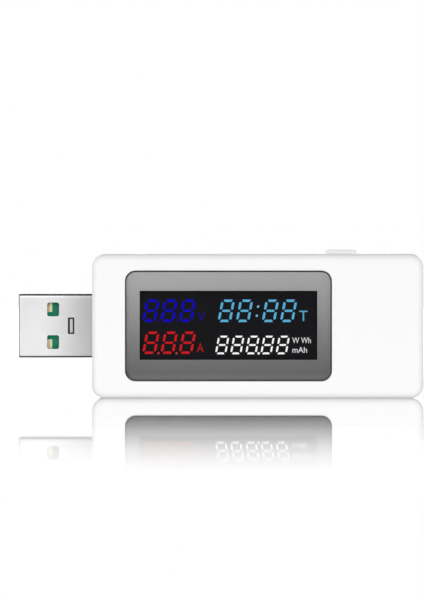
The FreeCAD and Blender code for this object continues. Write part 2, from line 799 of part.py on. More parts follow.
def circuit_board():
    """Board with notches for the plug, the socket and the switch, and holes for posts and display clips."""
    body = new_body("circuit_board")
    left = f"{LEFT} + Sizes.board_left"
    right = f"{RIGHT} - Sizes.board_right"
    x, length = span(left, right)
    z, height = span("Sizes.board_low", "Sizes.board_high")
    pad(body, "board", "Y", BOARD_FRONT, BOARD_BACK, rectangle((x, z), (length, height)))
    below, above = f"{BOARD_FRONT} - {CLEAR}", f"{BOARD_BACK} + {CLEAR}"
    x, length = span(f"{left} - {CLEAR}", f"{PLUG_BACK} + 2 * Sizes.notch_gap")
    notch = rectangle((x, MIDDLE), (length, "Sizes.plug_width + 2 * Sizes.notch_gap"))
    pocket(body, "plug_notch", "Y", below, above, notch)
    x, length = span(f"{SOCKET_BACK} - Sizes.notch_gap", f"{right} + {CLEAR}")
    notch = rectangle((x, MIDDLE), (length, "Sizes.socket_width + 2 * Sizes.notch_gap"))
    pocket(body, "socket_notch", "Y", below, above, notch)
    z, height = span("Sizes.switch_low - Sizes.notch_gap", f"Sizes.board_high + {CLEAR}")
    notch = rectangle((BUTTON_X, z), ("Sizes.switch_length + 2 * Sizes.notch_gap", height))
    pocket(body, "switch_notch", "Y", below, above, notch)
    post_holes = circles_at_posts("Sizes.pin_radius + Sizes.notch_gap")
    pocket(body, "post_holes", "Y", below, above, *post_holes)
    first_hole = circle((FIRST_CLIP, CLIP_Z), "Sizes.clip_hole_radius")
    hole = pocket(body, "clip_hole", "Y", below, above, first_hole)
    repeat(body, "clip_holes", hole, "X", CLIP_SPREAD, "Sizes.clip_count")
    return keep(body, "circuit_board")


def component_place(name, step=(0.0, 0.0)):
    """Middle of a part on the board, or of a repeat of it a step away."""
    x = f"{LEFT} + Sizes.{name}_from_left + {step[0]}"
    z = f"Sizes.{name}_level + {step[1]}"
    return x, z


def component_size(name):
    return tuple(f"Sizes.{name}_{side}" for side in ("length", "height", "depth"))


def package(label, name):
    """A chip's moulded package, a little off the board's back."""
    x, z = component_place(name)
    length, height, depth = component_size(name)
    item = box_about(label, x, z, length, height, f"{BOARD_BACK} + Sizes.standoff", depth)
    return keep(item, label)


def lead_profile(edge, outward):
    """Side view of a lead: out of the package's edge, down a slope, and along the board."""

    def at(rise, reach):
        return f"{BOARD_BACK} + {rise}", f"{edge} {outward} ({reach})"

    return polygon(
        at("Sizes.lead_rise - Sizes.lead_sheet", "0"),
        at("Sizes.lead_rise", "0"),
        at("Sizes.lead_rise", "Sizes.lead_shoulder + 0.5 * Sizes.lead_sheet"),
        at("Sizes.lead_sheet", "2 * Sizes.lead_shoulder"),
        at("Sizes.lead_sheet", "Sizes.lead_reach"),
        at("0", "Sizes.lead_reach"),
        at("0", "2 * Sizes.lead_shoulder - 0.5 * Sizes.lead_sheet"),
        at("Sizes.lead_rise - Sizes.lead_sheet", "Sizes.lead_shoulder"),
    )


def chips():
    """Integrated circuits, each a package and two rows of leads."""
    for name, (pitch, count) in LEAD_ROWS.items():
        package(f"{name}_chip", name)
        body = new_body(f"{name}_leads")
        x, z = component_place(name)
        spread = pitch * (count - 1)
        left, right = (f"{x} - {spread / 2} {sign} Sizes.lead_width / 2" for sign in ("-", "+"))
        for side, sign in (("low", "-"), ("high", "+")):
            edge = f"{z} {sign} Sizes.{name}_height / 2"
            lead = pad(body, f"{side}_lead", "X", left, right, lead_profile(edge, sign))
            repeat(body, f"{side}_row", lead, "X", str(spread), str(count))
        keep(body, f"{name}_leads")


def regulator():
    """Three-lead regulator, with a wide tab that spreads its heat into the board."""
    package("regulator", "regulator")
    x, z = component_place("regulator")
    lead_pitch, lead_width, lead_height, tab_width, sheet = 1.5, 0.4, 0.8, 1.7, 0.4
    low = f"{z} - Sizes.regulator_height / 2 - {lead_height / 2}"
    high = f"{z} + Sizes.regulator_height / 2 + {lead_height / 2}"
    places = [(f"{x} + {step * lead_pitch}", low, lead_width) for step in (-1, 0, 1)]
    places.append((x, high, tab_width))
    leads = [
        box_about("regulator_lead", at_x, at_z, str(width), str(lead_height), BOARD_BACK, str(sheet))
        for at_x, at_z, width in places
    ]
    return group("regulator_leads", leads)


def two_ended(name, body_label, ends_label, cap, steps=((0.0, 0.0),)):
    """Chip parts with a metal cap at each end: their bodies in one node and their caps in another."""
    length, height, depth = component_size(name)
    middles, caps = [], []
    for step in steps:
        x, z = component_place(name, step)
        middles.append(box_about(name, x, z, f"{length} - 2 * {cap}", height, BOARD_BACK, depth))
        for sign in ("-", "+"):
            cap_x = f"{x} {sign} ({length} - {cap}) / 2"
            caps.append(box_about(f"{name}_cap", cap_x, z, str(cap), height, BOARD_BACK, depth))
    group(body_label, middles)
    group(ends_label, caps)


def passives():
    """Current shunt, bulk capacitor, and the small chip capacitors and resistors."""
    two_ended("shunt", "shunt_resistor", "shunt_terminals", 0.9)
    two_ended("bulk", "bulk_capacitor", "bulk_capacitor_ends", 0.6)
    two_ended("capacitor", "chip_capacitors", "chip_capacitor_ends", 0.4, CAPACITOR_STEPS)
    two_ended("resistor", "chip_resistors", "chip_resistor_ends", 0.3, RESISTOR_STEPS)


def crystal():
    """Watch crystal in a round can that lies on the board, with two wires."""
    x, z = component_place("crystal")
    radius = "Sizes.crystal_height / 2"
    start = f"{x} - Sizes.crystal_length / 2"
    can = doc.addObject("Part::Cylinder", "crystal_can")
    can.setExpression("Radius", radius)
    can.setExpression("Height", "Sizes.crystal_length")
    can.Placement = FreeCAD.Placement(Vector(0, 0, 0), FreeCAD.Rotation(Vector(0, 1, 0), 90))
    axis_y = f"{BOARD_BACK} + Sizes.board_gap + {radius}"
    for axis, expression in zip("xyz", (start, axis_y, z)):
        can.setExpression(f"Placement.Base.{axis}", expression)
    keep(can, "crystal_can")
    wire_length, wire_size, wire_pitch = 1.4, 0.2, 0.7
    wires = []
    for sign in ("-", "+"):
        at = (f"{start} - {wire_length / 2}", f"{z} {sign} {wire_pitch / 2}")
        front = f"{axis_y} - {wire_size / 2}"
        wires.append(
            box_about("crystal_wire", *at, str(wire_length), str(wire_size), front, str(wire_size))
        )
    return group("crystal_wires", wires)


# ---------------------------------------------------------------- button and switch


def button_cap():
    """Key above the housing, on a flange that the top wall holds in, with a foot on the plunger."""
    body = new_body("button_cap")
    at = (BUTTON_X, "0")
    outline = rectangle(at, ("Sizes.button_length", "Sizes.button_depth"), "Sizes.button_radius")
    key = pad(body, "key", "Z", FLANGE_LOW, BUTTON_TOP, outline)
    dress("Fillet", body, "top_round", key, "Sizes.button_round", lies_at("Z", BUTTON_TOP))
    flange = rectangle(at, ("Sizes.flange_length", "Sizes.flange_depth"))
    pad(body, "flange", "Z", FLANGE_LOW, FLANGE_TOP, flange)
    foot = rectangle(at, ("Sizes.foot_size", "Sizes.foot_size"))
    pad(body, "foot", "Z", PLUNGER_TOP, FLANGE_LOW, foot)
    return keep(body, "button_cap")


def switch_housing():
    """Side-press switch in the board's top notch: a base with a round well, and a cover with a hole."""
    at = (BUTTON_X, "0")
    outline = rectangle(at, ("Sizes.switch_length", "Sizes.switch_depth"))
    base = new_body("switch_base")
    pad(base, "block", "Z", "Sizes.switch_low", COVER_LOW, outline)
    well = circle(at, "Sizes.dome_radius + Sizes.well_gap")
    pocket(base, "well", "Z", DOME_LOW, f"{COVER_LOW} + {CLEAR}", well)
    keep(base, "switch_base")
    cover = new_body("switch_cover")
    pad(cover, "plate", "Z", COVER_LOW, "Sizes.switch_high", outline)
    hole = circle(at, "Sizes.plunger_radius + Sizes.plunger_gap")
    pocket(cover, "plunger_hole", "Z", f"{COVER_LOW} - {CLEAR}", f"Sizes.switch_high + {CLEAR}", hole)
    keep(cover, "switch_cover")


def switch_plunger():
    """Round pin whose flange rests on the dome and stays under the cover."""
    body = new_body("switch_plunger")
    at = (BUTTON_X, "0")
    flange_top = f"{DOME_TOP} + Sizes.plunger_flange_thickness"
    pad(body, "flange", "Z", DOME_TOP, flange_top, circle(at, "Sizes.plunger_flange"))
    pad(body, "stem", "Z", flange_top, PLUNGER_TOP, circle(at, "Sizes.plunger_radius"))
    return keep(body, "switch_plunger")


def switch_dome():
    """Thin snap dome on the switch's floor: a cap of a ball, hollowed by a smaller ball."""
    balls = []
    for name, radius in (("dome_outside", DOME_BALL), ("dome_inside", f"{DOME_BALL} - Sizes.dome_sheet")):
        ball = doc.addObject("Part::Sphere", name)
        ball.setExpression("Radius", radius)
        ball.setExpression("Placement.Base.x", BUTTON_X)
        ball.setExpression("Placement.Base.z", f"{DOME_TOP} - {DOME_BALL}")
        balls.append(ball)
    outside, inside = balls
    outside.setExpression("Angle1", f"asin(({DOME_BALL} - Sizes.dome_rise) / ({DOME_BALL}))")
    dome = doc.addObject("Part::Cut", "switch_dome")
    dome.Base = outside
    dome.Tool = inside
    return keep(dome, "switch_dome")


def switch_terminals():
    """Four flat terminals from the switch's ends onto the board's back."""
    size = ("Sizes.terminal_length", "Sizes.terminal_sheet", "Sizes.terminal_height")
    terminals = []
    for start in (
        f"{BUTTON_X} - Sizes.switch_length / 2 - Sizes.terminal_length",
        f"{BUTTON_X} + Sizes.switch_length / 2",
    ):
        for rise in ("0.5 * Sizes.terminal_height", "2.5 * Sizes.terminal_height"):
            low = (start, BOARD_BACK, f"Sizes.switch_low + {rise}")
            terminals.append(box("switch_terminal", low, size))
    return group("switch_terminals", terminals)


# ---------------------------------------------------------------- plug

PLUG_BORE = grow(PLUG_SIZE, "-2 * Sizes.sheet")
PLUG_FACE = "-Sizes.plug_depth / 2"


def shell_legs(body, width, places):
    """Flat legs that stick out of a connector's sides at places along it, and lie on the board's back."""
    for index, x in enumerate(places):
        legs = [
            rectangle(
                (x, f"{MIDDLE} {sign} ({width} / 2 - Sizes.sheet + Sizes.leg_reach / 2)"),
                ("Sizes.leg_width", "Sizes.leg_reach"),
            )
            for sign in ("-", "+")
        ]
        pad(body, f"legs_{index}", "Y", BOARD_BACK, f"{BOARD_BACK} + Sizes.sheet", *legs)


def latch(body):
    """A slot in the plug's front face, and the tab that steps down into it and curls up at its free end."""
    x = f"{TIP} + Sizes.latch_from_tip"
    slot = rectangle((x, MIDDLE), ("Sizes.latch_length", "Sizes.latch_width"), "Sizes.latch_radius")
    inner_face = f"{PLUG_FACE} + Sizes.sheet"
    pocket(body, "latch_slot", "Y", "-Sizes.plug_depth", f"{inner_face} + Sizes.latch_sheet", slot)
    root = f"{x} + Sizes.latch_length / 2"
    free_end = f"{x} - Sizes.latch_length / 2 + Sizes.latch_gap"
    ramp_end = f"{root} - Sizes.latch_ramp"
    outer_bend = f"{PLUG_FACE} + Sizes.latch_bend"
    inner_bend = f"{outer_bend} + Sizes.latch_sheet"
    profile = polygon(
        (f"{root} + Sizes.latch_side_gap", PLUG_FACE),
        (root, PLUG_FACE),
        (ramp_end, outer_bend),
        (free_end, f"{outer_bend} - Sizes.latch_curl"),
        (free_end, f"{inner_bend} - Sizes.latch_curl"),
        (ramp_end, inner_bend),
        (root, inner_face),
        (f"{root} + Sizes.latch_side_gap", inner_face),
    )
    half_width = "(Sizes.latch_width / 2 - Sizes.latch_side_gap)"
    pad(body, "latch_tab", "Z", f"{MIDDLE} - {half_width}", f"{MIDDLE} + {half_width}", profile)


def plug_shell():
    """Folded steel tube with contact openings, a latch tab, a seam along its back and solder legs."""
    body = new_body("plug_shell")
    tube = pad(body, "tube", "X", TIP, PLUG_BACK, rectangle(("0", MIDDLE), PLUG_SIZE, "Sizes.plug_radius"))
    dress("Fillet", body, "tip_round", tube, "Sizes.plug_tip_round", lies_at("X", TIP))
    start, end = f"{TIP} - {CLEAR}", f"{PLUG_BACK} + {CLEAR}"
    bore = rectangle(("0", MIDDLE), PLUG_BORE, "Sizes.plug_radius - Sizes.sheet")
    pocket(body, "bore", "X", start, end, bore)
    openings = [
        rectangle(
            (f"{TIP} + Sizes.opening_from_tip", f"{MIDDLE} {sign} Sizes.opening_pitch / 2"),
            ("Sizes.opening_length", "Sizes.opening_width"),
            "Sizes.opening_radius",
        )
        for sign in ("-", "+")
    ]
    pocket(body, "contact_openings", "Y", "-Sizes.plug_depth", "Sizes.plug_depth", *openings)
    latch(body)
    seam = rectangle(("Sizes.plug_depth / 2", MIDDLE), ("2 * Sizes.seam_depth", "Sizes.seam_width"))
    pocket(body, "seam", "X", start, end, seam)
    shell_legs(body, "Sizes.plug_width", [f"{LEFT} + Sizes.plug_leg_inset"])
    return keep(body, "plug_shell")


def contact_strips(label, profile, offset, width):
    """Two equal strips cut from sheet to one side profile, one each side of the middle."""
    body = new_body(label)
    for name, sign in (("low", "-"), ("high", "+")):
        low, high = (f"{MIDDLE} {sign} {offset} {side} {width} / 2" for side in ("-", "+"))
        pad(body, f"{name}_strip", "Z", low, high, profile)
    return keep(body, label)


def plug_contact_profile(start):
    """Side view of a contact: a pad on the insulator's face, a step down, and a tail on the board's back."""
    face = "Sizes.tongue_face"
    sheet = "Sizes.contact_sheet"
    pad_end = f"{TIP} + Sizes.pad_end"
    tail = f"{PLUG_BACK} + Sizes.contact_tail"
    return polygon(
        (start, face),
        (pad_end, face),
        (f"{pad_end} + Sizes.pad_slope", BOARD_BACK),
        (tail, BOARD_BACK),
        (tail, f"{BOARD_BACK} + {sheet}"),
        (f"{pad_end} + Sizes.pad_slope - {sheet} / 2", f"{BOARD_BACK} + {sheet}"),
        (f"{pad_end} - {sheet} / 2", f"{face} + {sheet}"),
        (start, f"{face} + {sheet}"),
    )


def plug_contacts():
    """Two wide gold contacts for power and two narrow ones, set further back, for data."""
    start = f"{TIP} + Sizes.pad_start"
    profile = plug_contact_profile(start)
    power = contact_strips("plug_power_contacts", profile, "Sizes.power_pad_offset", "Sizes.power_pad_width")
    profile = plug_contact_profile(f"{start} + Sizes.pad_setback")
    data = contact_strips("plug_data_contacts", profile, "Sizes.data_pad_offset", "Sizes.data_pad_width")
    return [power, data]


def plug_insulator(contacts):
    """Green moulding: a full block at the back, and half of the plug's depth in front, under the contacts."""
    body = new_body("plug_moulding")
    corner = "Sizes.plug_radius - Sizes.sheet + Sizes.insulator_gap"
    block = rectangle(("0", MIDDLE), grow(PLUG_BORE, "-2 * Sizes.insulator_gap"), corner)
    start, end = f"{TIP} + Sizes.moulding_start", f"{PLUG_BACK} - Sizes.moulding_end"
    pad(body, "block", "X", start, end, block)
    x, length = span(f"{TIP} - {CLEAR}", f"{TIP} + Sizes.cavity_depth")
    cavity = rectangle((x, MIDDLE), (length, "Sizes.plug_width"))
    pocket(body, "mating_cavity", "Y", "-Sizes.plug_depth", "Sizes.tongue_face", cavity)
    catch = rectangle(
        (f"{TIP} + Sizes.latch_from_tip", MIDDLE),
        grow(("Sizes.latch_length", "Sizes.latch_width"), "2 * Sizes.catch_margin"),
    )
    pocket(body, "latch_catch", "Y", "-Sizes.plug_depth", f"{PLUG_FACE} + Sizes.catch_depth", catch)
    return with_room_for("plug_insulator", body, contacts)


# ---------------------------------------------------------------- socket

SOCKET_BORE = grow(SOCKET_SIZE, "-2 * Sizes.sheet")


def springs(body):
    """Four tabs, bent inwards in slots of the front and back faces, that grip an inserted plug."""
    slot_end = f"{SOCKET_MOUTH} - Sizes.slot_from_mouth"
    root = f"{slot_end} - Sizes.slot_length"
    slots = [
        rectangle(
            (f"{slot_end} - Sizes.slot_length / 2", f"{MIDDLE} {sign} Sizes.slot_offset"),
            ("Sizes.slot_length", "Sizes.slot_width"),
            "Sizes.slot_radius",
        )
        for sign in ("-", "+")
    ]
    pocket(body, "spring_slots", "Y", "-Sizes.socket_depth", "Sizes.socket_depth", *slots)
    line = [
        (f"{root} - Sizes.spring_root", "0"),
        (root, "0"),
        (f"{root} + Sizes.spring_crest", "Sizes.spring_bend"),
        (f"{root} + Sizes.spring_end", "Sizes.spring_bend - Sizes.spring_lift"),
    ]
    sheet_line = line + [(x, f"{sink} + Sizes.sheet") for x, sink in reversed(line)]
    for side, sign in (("front", "-"), ("back", "")):
        profile = polygon(*[(x, f"{sign}(Sizes.socket_depth / 2 - ({sink}))") for x, sink in sheet_line])
        for place, turn in (("low", "-"), ("high", "+")):
            middle = f"{MIDDLE} {turn} Sizes.slot_offset"
            low, high = (f"{middle} {end} Sizes.spring_width / 2" for end in ("-", "+"))
            pad(body, f"{side}_{place}_spring", "Z", low, high, profile)


def socket_shell():
    """Steel tube with spring tabs, a bevelled mouth and solder legs."""
    body = new_body("socket_shell")
    outline = rectangle(("0", MIDDLE), SOCKET_SIZE, "Sizes.socket_radius")
    pad(body, "tube", "X", SOCKET_BACK, SOCKET_MOUTH, outline)
    hole = rectangle(("0", MIDDLE), SOCKET_BORE, "Sizes.socket_radius - Sizes.sheet")
    bore = pocket(body, "bore", "X", f"{SOCKET_BACK} - {CLEAR}", f"{SOCKET_MOUTH} + {CLEAR}", hole)
    at_mouth = lies_at("X", SOCKET_MOUTH)
    reach_y, reach_z = (size_of(f"{side} / 2 - Sizes.sheet / 2") for side in SOCKET_SIZE)
    middle = size_of(MIDDLE)

    def round_the_bore(edge):
        limits = edge.BoundBox
        within_depth = max(-limits.YMin, limits.YMax) < reach_y
        within_width = max(middle - limits.ZMin, limits.ZMax - middle) < reach_z
        return at_mouth(edge) and within_depth and within_width

    dress("Chamfer", body, "mouth_bevel", bore, "Sizes.mouth_bevel", round_the_bore)
    springs(body)
    first_leg = f"{SOCKET_BACK} + Sizes.socket_leg_inset"
    shell_legs(body, "Sizes.socket_width", [first_leg, f"{first_leg} + Sizes.socket_leg_pitch"])
    return keep(body, "socket_shell")


def socket_contacts():
    """Springy strips that bulge towards the plug, with tails on the board's back."""
    block_end = f"{SOCKET_BACK} + Sizes.socket_block"
    face = "-Sizes.socket_tongue_face"
    line = [
        (f"{SOCKET_BACK} - Sizes.strip_tail", BOARD_BACK),
        (block_end, BOARD_BACK),
        (f"{block_end} + Sizes.strip_slope", face),
        (f"{block_end} + Sizes.strip_flat", face),
        (f"{block_end} + Sizes.strip_crest", f"{face} + Sizes.strip_rise"),
        (f"{block_end} + Sizes.strip_touch", face),
        (f"{block_end} + Sizes.strip_end", f"{face} - Sizes.strip_dip"),
    ]
    profile = polygon(*line, *[(x, f"{y} + Sizes.strip_sheet") for x, y in reversed(line)])
    power = contact_strips("socket_power_contacts", profile, "Sizes.power_pad_offset", "Sizes.strip_width")
    data = contact_strips("socket_data_contacts", profile, "Sizes.data_pad_offset", "Sizes.strip_width")
    return [power, data]


def socket_insulator(contacts):
    """Green moulding: a block that closes the shell's back, and the tongue that a plug slides over."""
    body = new_body("socket_moulding")
    corner = "Sizes.socket_radius - Sizes.sheet + Sizes.insulator_gap"
    block_end = f"{SOCKET_BACK} + Sizes.socket_block"
    block = rectangle(("0", MIDDLE), grow(SOCKET_BORE, "-2 * Sizes.insulator_gap"), corner)
    pad(body, "block", "X", f"{SOCKET_BACK} + Sizes.block_gap", block_end, block)
    tongue_end = f"{block_end} + Sizes.socket_tongue_length"
    middle = "-(Sizes.socket_tongue_face + Sizes.socket_tongue_depth / 2)"
    section = rectangle((middle, MIDDLE), ("Sizes.socket_tongue_depth", "Sizes.socket_tongue_width"))
    tongue = pad(body, "tongue", "X", block_end, tongue_end, section)
    dress("Chamfer", body, "tongue_bevel", tongue, "Sizes.socket_tongue_bevel", lies_at("X", tongue_end))
    return with_room_for("socket_insulator", body, contacts)


# ---------------------------------------------------------------- assembly


def build():
    """Makes every sub-part."""
    front_shell()
    rear_shell()
    window_lens()
    window_mask()
    window_tape()
    display_gasket()
    display_layers()
    backlight_leds()
    display_clips()
    circuit_board()
    chips()
    regulator()
    passives()
    crystal()
    button_cap()
    switch_housing()
    switch_plunger()
    switch_dome()
    switch_terminals()
    plug_shell()
    plug_insulator(plug_contacts())
    socket_shell()
    socket_insulator(socket_contacts())
    doc.recompute()


def check():
    """Stops on a failed object, a pocket that cuts nothing, or a sub-part without a sound shape."""
    for item in doc.Objects:
        if "Invalid" in item.State or "Error" in item.State:
            raise RuntimeError(f"{item.Label} failed: {item.State}")
        if item.TypeId == "PartDesign::Pocket":
            if item.Shape.Volume > item.BaseFeature.Shape.Volume - 1e-6:
                raise RuntimeError(f"{item.Label} cuts nothing")
    for item in sub_parts:
        if item.Shape.isNull() or not item.Shape.isValid() or not item.Shape.Solids:
            raise RuntimeError(f"{item.Label} has no sound shape")


def export():
    """Writes each sub-part to its own STEP file."""
    os.makedirs("parts", exist_ok=True)
    for item in sub_parts:
        item.Shape.exportStep(f"parts/{item.Label}.step")
        print(f"{item.Label}: {len(item.Shape.Solids)} solids, {item.Shape.Volume:.2f} mm3")


build()
check()
export()
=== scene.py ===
import math

import bmesh
import bpy
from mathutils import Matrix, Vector


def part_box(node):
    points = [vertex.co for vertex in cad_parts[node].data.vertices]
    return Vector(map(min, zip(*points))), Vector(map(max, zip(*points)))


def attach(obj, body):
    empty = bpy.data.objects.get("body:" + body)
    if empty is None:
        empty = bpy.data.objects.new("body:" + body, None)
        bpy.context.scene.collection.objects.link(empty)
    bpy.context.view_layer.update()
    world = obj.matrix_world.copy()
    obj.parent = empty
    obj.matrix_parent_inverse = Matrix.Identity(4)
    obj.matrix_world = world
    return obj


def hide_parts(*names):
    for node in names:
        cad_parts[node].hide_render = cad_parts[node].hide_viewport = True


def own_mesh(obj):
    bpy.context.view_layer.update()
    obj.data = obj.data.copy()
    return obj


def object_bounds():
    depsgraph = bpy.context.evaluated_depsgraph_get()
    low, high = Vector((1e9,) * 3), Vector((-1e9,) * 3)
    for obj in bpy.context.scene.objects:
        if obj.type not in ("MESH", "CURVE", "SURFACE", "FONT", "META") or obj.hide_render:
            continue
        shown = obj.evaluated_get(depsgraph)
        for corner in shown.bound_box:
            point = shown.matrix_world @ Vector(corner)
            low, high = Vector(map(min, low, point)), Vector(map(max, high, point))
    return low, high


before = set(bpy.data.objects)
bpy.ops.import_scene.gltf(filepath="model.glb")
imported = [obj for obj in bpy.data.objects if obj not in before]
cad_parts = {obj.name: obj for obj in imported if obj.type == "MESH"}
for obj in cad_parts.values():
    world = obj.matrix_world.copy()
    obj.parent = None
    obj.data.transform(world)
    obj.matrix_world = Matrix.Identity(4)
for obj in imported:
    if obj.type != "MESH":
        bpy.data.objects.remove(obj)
cad_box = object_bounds()

# ---------------------------------------------------------------------------
# An inline USB power meter: a white two-part case with a display window, a push button on its upper
# edge, a plug at the left end and a socket at the right. Lengths are in metres, in the CAD's frame:
# X runs from the plug to the socket, the window faces -Y, and Z is up.
# ---------------------------------------------------------------------------

MM = 0.001
SHADE_REACH = 2 * MM
SHADE_SAMPLES = 16
BODY = "meter"


# ---------------------------------------------------------------------------
# Node materials
# ---------------------------------------------------------------------------


def linear(*levels):
    """A linear colour from sRGB levels of 0 to 255."""
    shares = [level / 255 for level in levels]
    return tuple(s / 12.92 if s <= 0.04045 else ((s + 0.055) / 1.055) ** 2.4 for s in shares) + (1.0,)


class Nodes:
    """A node tree, emptied, with short ways to add to it."""

    def __init__(self, tree):
        self.tree = tree
        tree.nodes.clear()

    def add(self, kind, inputs=None, **settings):
        """A node with its settings set and each input given a value or linked to a socket."""
        made = self.tree.nodes.new("ShaderNode" + kind)
        for name, value in settings.items():
            setattr(made, name, value)
        for name, value in (inputs or {}).items():
            if isinstance(value, bpy.types.NodeSocket):
                self.tree.links.new(value, made.inputs[name])
            else:
                made.inputs[name].default_value = value
        return made

    def maths(self, operation, first, second=0.0):
        """The result of a Math node."""
        return self.add("Math", {0: first, 1: second}, operation=operation).outputs[0]

    def ranged(self, value, low, high, to_low=0.0, to_high=1.0, smooth=True):
        """value carried from low..high to to_low..to_high, and held there beyond."""
        return self.add("MapRange", {
            "Value": value, "From Min": low, "From Max": high, "To Min": to_low, "To Max": to_high,
        }, interpolation_type="SMOOTHSTEP" if smooth else "LINEAR").outputs["Result"]

    def place(self, stretch=(1, 1, 1)):
        """The point's own place on the object, in millimetres, scaled by stretch."""
        point = self.add("TexCoord").outputs["Object"]
        scale = tuple(share / MM for share in stretch)
        return self.add("Mapping", {"Vector": point, "Scale": scale}).outputs[0]

    def noise(self, size, stretch=(1, 1, 1), detail=3.0, roughness=0.55, offset=0.0):
        """Noise with features of about size millimetres, from 0 to 1."""
        place = self.add("Mapping", {
            "Vector": self.place(stretch), "Location": (offset, offset * 0.7, -offset),
        }).outputs[0]
        return self.add("TexNoise", {
            "Vector": place, "Scale": 1 / size, "Detail": detail, "Roughness": roughness,
        }).outputs["Fac"]

    def spread(self, value, middle, spread):
        """Noise turned into middle plus or minus spread."""
        return self.ranged(value, 0.3, 0.7, middle - spread, middle + spread, smooth=False)

    def mixed(self, share, first, second):
        """Two colours mixed by share."""
        return self.add("Mix", {0: share, 6: first, 7: second}, data_type="RGBA").outputs[2]

    def with_painted_shade(self, colour, left, own=False):
        """Painted shade: colour, darkened down to the share left of it where surfaces, or only the piece's
        own, close in on it.
        """
        open_share = self.add("AmbientOcclusion", {"Distance": SHADE_REACH}, samples=SHADE_SAMPLES,
                             only_local=own)
        share = self.ranged(open_share.outputs["AO"], 0.4, 1.0, left, 1.0, smooth=False)
        return self.add("VectorMath", {0: colour, "Scale": share}, operation="SCALE").outputs[0]

    def bump(self, height, microns, normal=None):
        """A normal bent by height, whose full range stands for microns."""
        inputs = {"Height": height, "Strength": 1.0, "Distance": microns * MM / 1000}
        if normal is not None:
            inputs["Normal"] = normal
        return self.add("Bump", inputs).outputs[0]

    def end(self, shader):
        """Makes shader the surface."""
        self.add("OutputMaterial", {"Surface": shader})


def new_finish(name):
    """A material named for its slot, and its nodes."""
    made = bpy.data.materials.new("look_" + name)
    made.use_nodes = True
    return made, Nodes(made.node_tree)


def toned(n, colour, change, size, stretch=(1, 1, 1)):
    """colour, lighter and darker by the share change in patches of about size millimetres."""
    dark = tuple(level * (1 - change) for level in colour[:3]) + (1.0,)
    light = tuple(min(1.0, level * (1 + change)) for level in colour[:3]) + (1.0,)
    return n.mixed(n.ranged(n.noise(size, stretch), 0.3, 0.7), dark, light)


def moulded(name, colour, roughness, grain=0.12, depth=1.2, change=0.01, swirl=9.0, specular=0.5,
            shade=None):
    """Moulded plastic: faint flow clouds, an uneven gloss and a fine tool texture.

    shade is the share of its tone that a painted shade leaves deep in its recesses, where it has one.
    """
    made, n = new_finish(name)
    waves = n.bump(n.noise(9.0, detail=1.0), 1.2)
    normal = n.bump(n.noise(grain, detail=2.0, offset=3.0), depth, waves)
    gloss = n.spread(n.noise(3.2, detail=3.0, offset=11.0), roughness, roughness * 0.08)
    tone = toned(n, colour, change, swirl)
    # Painted shade in the recesses, where one is asked for.
    if shade:
        tone = n.with_painted_shade(tone, shade)
    n.end(n.add("BsdfPrincipled", {
        "Base Color": tone, "Roughness": gloss, "Normal": normal, "Specular IOR Level": specular,
    }).outputs[0])
    return made


# The share by which a painted shade darkens metal where it turns away from the front and the back, standing
# in for the darker room it mirrors there, and the share of its tone that a painted shade leaves deep in its
# recesses. Then the limits between which those turns take effect, as the size of the normal's Y, or for the
# ends its X.
BEND_PAINTED_SHADE = 0.85
RECESS_LEFT = 0.1
BENT_FROM, BENT_TO = 0.76, 0.95
EDGE_ON, EDGE_OFF = 0.02, 0.10
ENDWAYS_FROM, ENDWAYS_TO = 0.15, 0.4


def metal(name, colour, roughness, stretch, line=0.09, depth=0.8, change=0.05, painted_shade_toward_case=None):
    """Rolled or plated metal: fine lines along one axis, with painted shade where it bends round and in its
    recesses.

    The last argument is the X where a painted shade towards the case starts, the X where it is full, and the
    share of the tone that is left there.
    """
    made, n = new_finish(name)
    lines = n.noise(line, stretch, detail=4.0, roughness=0.7)
    normal = n.bump(lines, depth, n.bump(n.noise(2.2, detail=1.0, offset=5.0), 0.15))
    cloud = n.noise(2.6, detail=2.0, offset=17.0)
    gloss = n.maths("ADD", n.spread(cloud, roughness, roughness * 0.05), n.spread(lines, 0.0, 0.02))
    # Painted shade: darker where the normal turns away from the front and the back, and at the ends.
    turned = n.add("SeparateXYZ", {0: n.add("NewGeometry").outputs["Normal"]}).outputs
    facing = n.maths("ABSOLUTE", turned[1])
    endways = n.ranged(n.maths("ABSOLUTE", turned[0]), ENDWAYS_FROM, ENDWAYS_TO)
    bend = n.maths("MAXIMUM", endways, n.ranged(facing, BENT_FROM, BENT_TO, 1.0, 0.0))
    bend = n.maths("MULTIPLY", bend, n.ranged(facing, EDGE_ON, EDGE_OFF))
    share = n.maths("SUBTRACT", 1.0, n.maths("MULTIPLY", bend, BEND_PAINTED_SHADE))
    # Painted shade on the tone towards the case, where the case shades it.
    if painted_shade_toward_case:
        start, end, left = painted_shade_toward_case
        across = n.add("SeparateXYZ", {0: n.add("TexCoord").outputs["Object"]}).outputs[0]
        share = n.maths("MULTIPLY", share, n.ranged(across, start, end, 1.0, left))
    rolled = toned(n, colour, change, 0.25, stretch)
    tone = n.add("VectorMath", {0: rolled, "Scale": share}, operation="SCALE").outputs[0]
    # Painted shade deep in the piece's own recesses.
    n.end(n.add("BsdfPrincipled", {
        "Base Color": n.with_painted_shade(tone, RECESS_LEFT, own=True), "Metallic": 1.0,
        "Roughness": gloss, "Normal": normal,
    }).outputs[0])
    return made


PRINT_CORNER = 1.79 * MM
# The width of the painted shade line at the print's very edge, and how much wider it is along the top and
# the foot.
EDGE_SHADE_WIDTH = 0.05 * MM
EDGE_SHADE_RISE = 0.04 * MM
# The grey level of 0 to 255 at shares of the print's height, from its foot up: part printed grey, part
# painted reflection of the bright room above and the dark below.
PRINT_AND_REFLECTION_GREYS = ((0.0, 92), (0.05, 100), (0.14, 106), (0.42, 131), (0.62, 150), (0.80, 163), (1.0, 178))
# The share of the print's tone that is left under that painted shade line.
EDGE_SHADE_LEFT = 0.1


